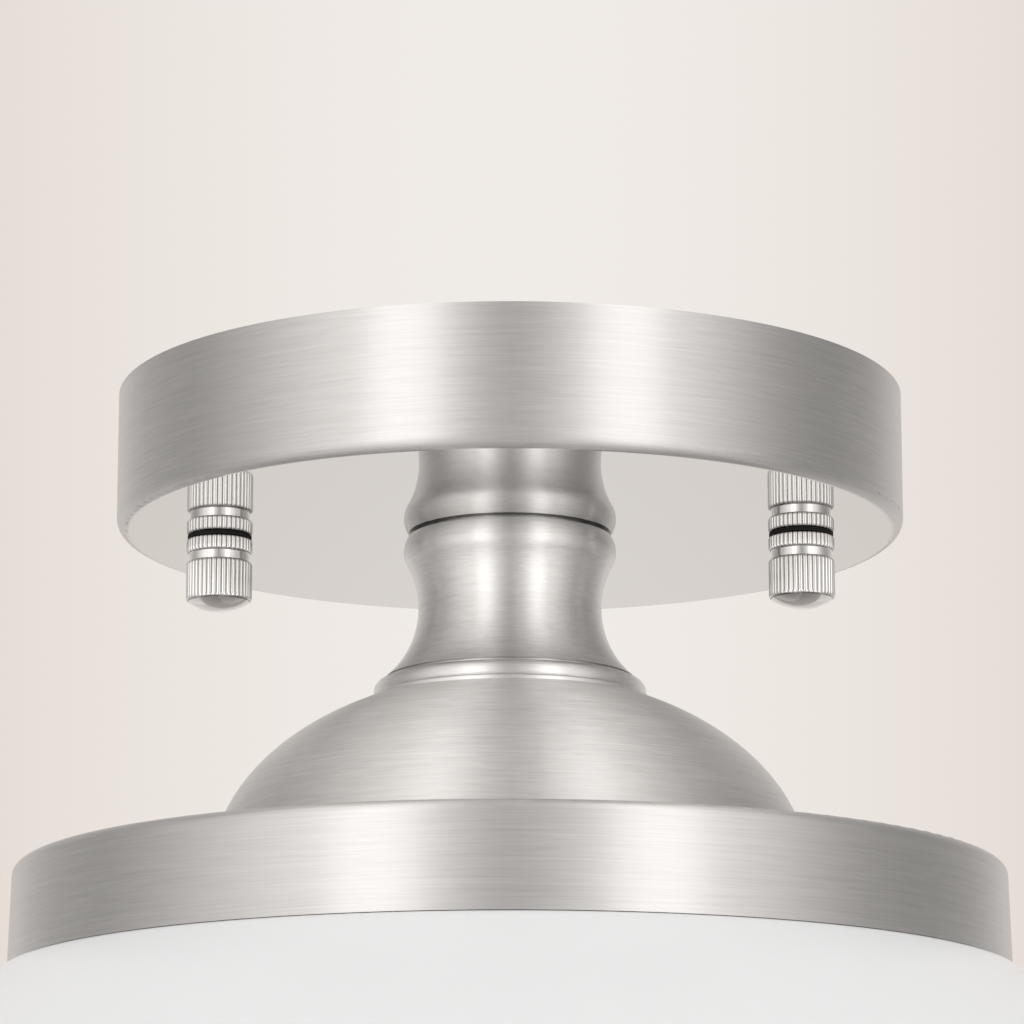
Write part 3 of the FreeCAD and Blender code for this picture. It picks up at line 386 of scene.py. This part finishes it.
def finish_all():
    """One material for each of the record's slots, and two more brushed nickels for the parts spun on a lathe,
    whose base colour is painted lighter to stand in for light that the canopy and dome keep off them.
    """
    return {
        "brushed_nickel": brushed_nickel("brushed_nickel", (0.68, 0.675, 0.67), 0.35, 0.43, 0.92, 0.2, True),
        # Painted light: the neck's and dome's nickel is lighter than the canopy's same nickel
        "neck_nickel_painted_light": brushed_nickel("neck_nickel_painted_light", (0.8, 0.795, 0.79), 0.3, 0.38, 0.75, 0.45, lean=0.5),
        "dome_nickel_painted_light": brushed_nickel("dome_nickel_painted_light", (0.89, 0.88, 0.87), 0.47, 0.56, 0.92, 0.4),
        "polished_nickel": fluted_nickel((0.82, 0.81, 0.80)),
        "zinc_steel": plated_steel("zinc_steel", (0.56, 0.56, 0.54), 0.30, 0.86),
        "green_steel": plated_steel("green_steel", (0.05, 0.22, 0.08), 0.32, 0.80),
        "brass_plated": plated_steel("brass_plated", (0.66, 0.47, 0.17), 0.24, 0.84),
        "nickel_brass": plated_steel("nickel_brass", (0.66, 0.64, 0.59), 0.20, 0.92),
        "solder": plated_steel("solder", (0.42, 0.42, 0.43), 0.42, 0.80),
        "black_fibre": moulded("black_fibre", (0.012, 0.012, 0.012), 0.75, 1200.0),
        "black_plastic": moulded("black_plastic", (0.018, 0.018, 0.019), 0.45),
        "black_glass": moulded("black_glass", (0.012, 0.012, 0.015), 0.12, 600.0, 0.6),
        "black_wire": moulded("black_wire", (0.017, 0.017, 0.018), 0.42),
        "white_wire": moulded("white_wire", (0.74, 0.74, 0.71), 0.42),
        "green_wire": moulded("green_wire", (0.03, 0.19, 0.06), 0.42),
        "orange_plastic": moulded("orange_plastic", (0.72, 0.16, 0.02), 0.30, 1500.0, 0.2),
        "opal_glass": opal_glass(),
        "frosted_glass": frosted_glass(),
        "porcelain": porcelain(),
    }


def dress(finishes):
    """Gives each CAD node the finish of its slot in the record, except the spun nodes, which get their nickel
    painted lighter.
    """
    for part in frame["record"]["subparts"]:
        finish = LIGHTENED_SPUN_FINISHES.get(part["node"], part["material_slot"])
        mesh = NODES[part["node"]].data
        mesh.materials.clear()
        mesh.materials.append(finishes[finish])


def mesh_object(name, points, faces, material, body, edge_angle):
    """A smooth mesh that rides a body. Edges stay sharp where their faces differ by edge_angle or more."""
    mesh = bpy.data.meshes.new(name)
    mesh.from_pydata(points, [], faces)
    mesh.materials.append(material)
    mesh.shade_smooth()
    mesh.set_sharp_from_angle(angle=math.radians(edge_angle))
    made = bpy.data.objects.new(name, mesh)
    bpy.context.scene.collection.objects.link(made)
    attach(made, body)
    return made


def threaded_rod(centres, radius, bore, low, high, pitch, depth):
    """Points and faces of upright rods or tubes with a helical thread, one round each centre in x."""
    points, faces = [], []
    rows = round((high - low) / pitch * THREAD_ROWS)
    for centre in centres:
        first = len(points)
        for row in range(rows + 1):
            level = low + (high - low) * row / rows
            from_end = min(level - low, high - level) / pitch
            for k in range(THREAD_SEGMENTS):
                turn = 2 * math.pi * k / THREAD_SEGMENTS
                phase = ((level - low) / pitch - k / THREAD_SEGMENTS) % 1.0
                groove = depth * abs(2 * phase - 1) if from_end > 0 else depth
                groove = max(groove, depth * (1 - min(1.0, from_end)))
                r = radius - groove
                points.append((centre + r * math.cos(turn), r * math.sin(turn), level))
        for row in range(rows):
            for k in range(THREAD_SEGMENTS):
                a = first + row * THREAD_SEGMENTS + k
                b = first + row * THREAD_SEGMENTS + (k + 1) % THREAD_SEGMENTS
                faces.append((a, b, b + THREAD_SEGMENTS, a + THREAD_SEGMENTS))
        bottom = [first + k for k in range(THREAD_SEGMENTS)]
        top = [first + rows * THREAD_SEGMENTS + k for k in range(THREAD_SEGMENTS)]
        if not bore:
            faces.append(tuple(reversed(bottom)))
            faces.append(tuple(top))
            continue
        inner = len(points)
        for level in (low, high):
            for k in range(THREAD_SEGMENTS):
                turn = 2 * math.pi * k / THREAD_SEGMENTS
                points.append((centre + bore * math.cos(turn), bore * math.sin(turn), level))
        for k in range(THREAD_SEGMENTS):
            n = (k + 1) % THREAD_SEGMENTS
            faces.append((bottom[n], bottom[k], inner + k, inner + n))
            faces.append((top[k], top[n], inner + THREAD_SEGMENTS + n, inner + THREAD_SEGMENTS + k))
            faces.append((inner + n, inner + k, inner + THREAD_SEGMENTS + k, inner + THREAD_SEGMENTS + n))
    return points, faces


def threaded_studs(finishes):
    """The two studs that the cap nuts turn on."""
    low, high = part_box("canopy_studs")
    radius = (high.y - low.y) / 2
    centres = (low.x + radius, high.x - radius)
    points, faces = threaded_rod(centres, radius, 0.0, low.z, high.z, STUD_PITCH, STUD_THREAD_DEPTH)
    studs = mesh_object(
        "threaded_studs", points, faces, finishes["zinc_steel"], "fixture", THREAD_EDGE)
    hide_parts("canopy_studs")


def threaded_nipple(finishes):
    """The hollow threaded rod on the lamp's axis."""
    low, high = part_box("nipple")
    radius = (high.x - low.x) / 2
    points, faces = threaded_rod(
        (0.0,), radius, NIPPLE_BORE, low.z, high.z, NIPPLE_PITCH, NIPPLE_THREAD_DEPTH)
    tube = mesh_object(
        "threaded_nipple", points, faces, finishes["brass_plated"], "fixture", THREAD_EDGE)
    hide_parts("nipple")


def fluted_cap_nut(finishes, side):
    """A cap nut with rounded flutes that run out at their ends, a plain groove, a domed end and a blind bore."""
    node = side + "_cap_nut"
    low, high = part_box(node)
    centre = (low + high) / 2
    radius = (high.x - low.x) / 2
    count = CAP_FLUTES * CAP_FLUTE_STEPS
    turns, ribs = [], []
    for flute in range(CAP_FLUTES):
        for step in range(CAP_FLUTE_STEPS):
            swing = math.pi * step / CAP_FLUTE_STEPS
            turns.append(2 * math.pi * (flute + 0.5 - 0.5 * math.cos(swing)) / CAP_FLUTES)
            ribs.append(math.sin(swing))
    rows = [[CAP_BORE] * count, [CAP_BORE] * count]
    levels = [low.z + CAP_BORE_ROOF, high.z]
    for drop, inset, depth in CAP_OUTLINE:
        rows.append([radius - inset - CAP_FLUTE_DEPTH * depth * (1 - rib) for rib in ribs])
        levels.append(high.z - drop)
    rim_drop, rim_inset, _ = CAP_OUTLINE[-1]
    rim = radius - rim_inset
    rise = high.z - rim_drop - low.z
    sphere = (rim**2 + rise**2) / (2 * rise)
    edge = math.asin(rim / sphere)
    for step in range(1, CAP_DOME_STEPS):
        angle = edge * (1 - step / CAP_DOME_STEPS)
        rows.append([sphere * math.sin(angle)] * count)
        levels.append(low.z + sphere * (1 - math.cos(angle)))
    points = [
        (centre.x + r * math.cos(turn), centre.y + r * math.sin(turn), level)
        for row, level in zip(rows, levels) for r, turn in zip(row, turns)]
    faces = []
    for row in range(len(rows) - 1):
        for k in range(count):
            a, b = row * count + k, row * count + (k + 1) % count
            faces.append((a, a + count, b + count, b))
    faces.append(tuple(range(count)))
    last = (len(rows) - 1) * count
    faces.append(tuple(last + k for k in reversed(range(count))))
    nut = mesh_object(
        side + "_fluted_nut", points, faces, finishes["polished_nickel"], side + "_nut",
        LATHE_EDGE)
    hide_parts(node)


def glass_outline(inset):
    """The glass's outline as radius and height from the neck down to the axis, moved inwards by inset."""

    def arc(centre, radius, start, end):
        """Points from one angle above the horizontal to another."""
        count = max(2, round(abs(end - start) / GLASS_ARC_STEP))
        angles = [math.radians(start + (end - start) * k / count) for k in range(count + 1)]
        return [(centre[0] + radius * math.cos(a), centre[1] + radius * math.sin(a)) for a in angles]

    neck_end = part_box("shade_lip")[0].z
    pan_low, pan_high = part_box("shade_pan")
    bowl_low, bowl_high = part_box("shade_bowl")
    widest = min(-bowl_low.x, bowl_high.x)
    top = pan_low.z - GLASS_BAND_GAP
    fillet_radius = neck_end - top
    fillet = (GLASS_NECK_RADIUS + fillet_radius, neck_end)
    crown = (pan_high.x - GLASS_CROWN_INSET, top - GLASS_CROWN_RADIUS)
    shoulder = (widest - GLASS_SHOULDER_RADIUS, bowl_high.z)
    across, down = crown[0] - shoulder[0], crown[1] - shoulder[1]
    lean = math.acos((GLASS_SHOULDER_RADIUS - GLASS_CROWN_RADIUS) / math.hypot(across, down))
    slope = math.degrees(math.atan2(across, down) + lean)
    belly = (widest - GLASS_BELLY_RADIUS, bowl_high.z)
    turn = math.radians(GLASS_BELLY_ANGLE)
    base = (belly[0] + (GLASS_BELLY_RADIUS - GLASS_BASE_RADIUS) * math.cos(turn),
            belly[1] - (GLASS_BELLY_RADIUS - GLASS_BASE_RADIUS) * math.sin(turn))
    turn = math.radians(GLASS_BASE_ANGLE)
    reach = base[0] / math.cos(turn)
    bottom = (0.0, base[1] + reach * math.sin(turn))
    return (
        arc(fillet, fillet_radius + inset, 180, 270)
        + arc(crown, GLASS_CROWN_RADIUS - inset, 90, 90 - slope)
        + arc(shoulder, GLASS_SHOULDER_RADIUS - inset, 90 - slope, 0)
        + arc(belly, GLASS_BELLY_RADIUS - inset, 0, -GLASS_BELLY_ANGLE)[1:]
        + arc(base, GLASS_BASE_RADIUS - inset, -GLASS_BELLY_ANGLE, -GLASS_BASE_ANGLE)[1:]
        + arc(bottom, GLASS_BASE_RADIUS + reach - inset, -GLASS_BASE_ANGLE, -90)[1:-1]
        + [(0.0, bottom[1] - GLASS_BASE_RADIUS - reach + inset)])


def blown_glass(finishes):
    """The shade's shoulder and bowl in one wall, closed at the bottom, right under the band."""
    outline = list(reversed(glass_outline(0.0))) + glass_outline(GLASS_WALL)
    points, rings = [], []
    for radius, level in outline:
        start = len(points)
        count = GLASS_SEGMENTS if radius > 0.0 else 1
        for k in range(count):
            turn = 2 * math.pi * k / GLASS_SEGMENTS
            points.append((radius * math.cos(turn), radius * math.sin(turn), level))
        rings.append([start + k % count for k in range(GLASS_SEGMENTS)])
    faces = []
    for lower, upper in zip(rings, rings[1:]):
        for k in range(GLASS_SEGMENTS):
            n = (k + 1) % GLASS_SEGMENTS
            faces.append(tuple(dict.fromkeys((lower[k], lower[n], upper[n], upper[k]))))
    glass = mesh_object(
        "blown_glass", points, faces, finishes["opal_glass"], "shade", LATHE_EDGE)
    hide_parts("shade_shoulder", "shade_bowl")


def ribbed_connectors(finishes):
    """The three twist-on connectors, fluted along their length, with the closed end rounded."""
    points, faces = [], []
    count = CONNECTOR_RIBS * CONNECTOR_RIB_STEPS
    level = (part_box("wire_connectors")[0].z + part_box("wire_connectors")[1].z) / 2
    for angle in CONNECTOR_ANGLES:
        turn = math.radians(angle)
        along = Vector((math.cos(turn), math.sin(turn), 0.0))
        across = Vector((-math.sin(turn), math.cos(turn), 0.0))
        first = len(points)
        for reach, radius, ribbed in CONNECTOR_OUTLINE:
            for k in range(count):
                phase = 2 * math.pi * k / count
                r = radius
                if ribbed:
                    r -= CONNECTOR_RIB_DEPTH * (0.5 + 0.5 * math.cos(CONNECTOR_RIBS * phase))
                centre = along * (CONNECTOR_START + reach)
                place = centre + across * (r * math.cos(phase)) + Vector((0, 0, level + r * math.sin(phase)))
                points.append(tuple(place))
        for step in range(len(CONNECTOR_OUTLINE) - 1):
            for k in range(count):
                a = first + step * count + k
                b = first + step * count + (k + 1) % count
                faces.append((a, b, b + count, a + count))
        faces.append(tuple(first + k for k in reversed(range(count))))
        last = first + (len(CONNECTOR_OUTLINE) - 1) * count
        faces.append(tuple(last + k for k in range(count)))
    cones = mesh_object(
        "ribbed_connectors", points, faces, finishes["orange_plastic"], "fixture", RIB_EDGE)
    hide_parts("wire_connectors")


def world():
    """Even soft light, with the pale backdrop where the camera, metal or glass sees it."""
    made = bpy.data.worlds.new("studio")
    made.use_nodes = True
    bpy.context.scene.world = made
    nodes, links = made.node_tree.nodes, made.node_tree.links
    shown = nodes.new("ShaderNodeBackground")
    aside = nodes.new("ShaderNodeVectorMath")
    aside.operation = "DOT_PRODUCT"
    aside.inputs[1].default_value = (math.cos(CAMERA_TURN), math.sin(CAMERA_TURN), 0.0)
    links.new(nodes.new("ShaderNodeTexCoord").outputs["Generated"], aside.inputs[0])
    square = nodes.new("ShaderNodeMath")
    square.operation = "MULTIPLY"
    links.new(aside.outputs["Value"], square.inputs[0])
    links.new(aside.outputs["Value"], square.inputs[1])
    falloff = nodes.new("ShaderNodeMapRange")
    falloff.inputs["From Max"].default_value = BACKDROP_SPREAD
    links.new(square.outputs[0], falloff.inputs["Value"])
    tint = nodes.new("ShaderNodeMix")
    tint.data_type = "RGBA"
    tint.inputs[MIX_A].default_value = (*BACKDROP_MIDDLE, 1.0)
    tint.inputs[MIX_B].default_value = (*BACKDROP_EDGE, 1.0)
    links.new(falloff.outputs["Result"], tint.inputs[0])
    links.new(tint.outputs[MIX_RESULT], shown.inputs["Color"])
    lit = nodes["Background"]
    lit.inputs["Color"].default_value = (1.0, 1.0, 1.0, 1.0)
    lit.inputs["Strength"].default_value = WORLD_LIGHT
    path = nodes.new("ShaderNodeLightPath")
    seen = path.outputs["Is Camera Ray"]
    for ray in ("Is Glossy Ray", "Is Transmission Ray"):
        both = nodes.new("ShaderNodeMath")
        both.operation = "MAXIMUM"
        links.new(seen, both.inputs[0])
        links.new(path.outputs[ray], both.inputs[1])
        seen = both.outputs[0]
    mix = nodes.new("ShaderNodeMixShader")
    links.new(seen, mix.inputs[0])
    links.new(lit.outputs[0], mix.inputs[1])
    links.new(shown.outputs[0], mix.inputs[2])
    links.new(mix.outputs[0], nodes["World Output"].inputs["Surface"])


def around(turn, distance, level):
    """A place round the axis: turn 0 is the camera's side, and it grows to the right."""
    angle = math.radians(turn) + CAMERA_TURN
    return Vector((distance * math.sin(angle), -distance * math.cos(angle), level))


def lamps():
    """One tall soft lamp at each side, turned towards the lamp's axis."""
    for name, turn, level, distance, size, power in SIDE_LAMPS:
        light = bpy.data.lights.new(name, "AREA")
        light.shape = "RECTANGLE"
        light.size, light.size_y = size
        light.energy = power
        light.color = LAMP_COLOUR
        made = bpy.data.objects.new(name, light)
        bpy.context.scene.collection.objects.link(made)
        made.location = around(turn, distance, level)
        toward = Vector((0, 0, CAMERA_LEVEL)) - made.location
        made.rotation_euler = toward.to_track_quat("-Z", "Y").to_euler()


def floor():
    """A pale floor far below, which keeps the object's shadow."""
    half = FLOOR_SIZE / 2
    mesh = bpy.data.meshes.new("floor")
    mesh.from_pydata(
        [(x, y, FLOOR_LEVEL) for x, y in ((-half, -half), (half, -half), (half, half), (-half, half))],
        [], [(0, 1, 2, 3)])
    surface = Material("floor_paint", (0.80, 0.77, 0.74), 0.6)
    surface.join(surface.mix_colour(
        surface.noise(surface.point(), 3.0, 4.0), (0.79, 0.76, 0.73), (0.81, 0.78, 0.75)), "Base Color")
    mesh.materials.append(surface.data)
    made = bpy.data.objects.new("floor", mesh)
    bpy.context.scene.collection.objects.link(made)


def studio_wall():
    """A plain grey wall, curved round the axis and graded round its length. Only metal and glass see it."""
    start, end = WALL_GREYS[0][0], WALL_GREYS[-1][0]
    count = round((end - start) / WALL_STEP)
    points, shades = [], []
    for step in range(count + 1):
        turn = start + (end - start) * step / count
        for (low, before), (high, after) in zip(WALL_GREYS, WALL_GREYS[1:]):
            if low <= turn <= high:
                shade = before + (after - before) * (turn - low) / (high - low)
        for level in (WALL_LOW, WALL_HIGH):
            points.append(around(turn, WALL_DISTANCE, level))
            shades.append(shade)
    faces = [(2 * step, 2 * step + 2, 2 * step + 3, 2 * step + 1) for step in range(count)]
    mesh = bpy.data.meshes.new("studio_wall")
    mesh.from_pydata(points, [], faces)
    levels = mesh.attributes.new("grey_level", "FLOAT", "POINT")
    levels.data.foreach_set("value", shades)
    paint = Material("studio_wall_paint", (0.0, 0.0, 0.0), 1.0)
    paint.set(**{"Emission Color": (*WALL_TINT, 1.0)})
    paint.join(paint.node("Attribute", attribute_name="grey_level").outputs["Fac"], "Emission Strength")
    mesh.materials.append(paint.data)
    made = bpy.data.objects.new("studio_wall", mesh)
    bpy.context.scene.collection.objects.link(made)
    made.visible_camera = False
    made.visible_shadow = False
    made.visible_diffuse = False


def camera():
    """A long lens that looks up at the lamp from the front."""
    data = bpy.data.cameras.new("camera")
    data.lens = CAMERA_LENS
    data.sensor_width = CAMERA_SENSOR
    made = bpy.data.objects.new("camera", data)
    bpy.context.scene.collection.objects.link(made)
    made.location = around(0.0, CAMERA_DISTANCE, CAMERA_LEVEL)
    made.rotation_euler = (math.pi / 2 + CAMERA_PITCH, 0.0, CAMERA_TURN - CAMERA_PAN)
    bpy.context.scene.camera = made


bpy.context.scene.view_settings.view_transform = "Standard"
camera()
world()
lamps()
studio_wall()
floor()
FINISHES = finish_all()
dress(FINISHES)
threaded_studs(FINISHES)
threaded_nipple(FINISHES)
ribbed_connectors(FINISHES)
fluted_cap_nut(FINISHES, "left")
fluted_cap_nut(FINISHES, "right")
blown_glass(FINISHES)
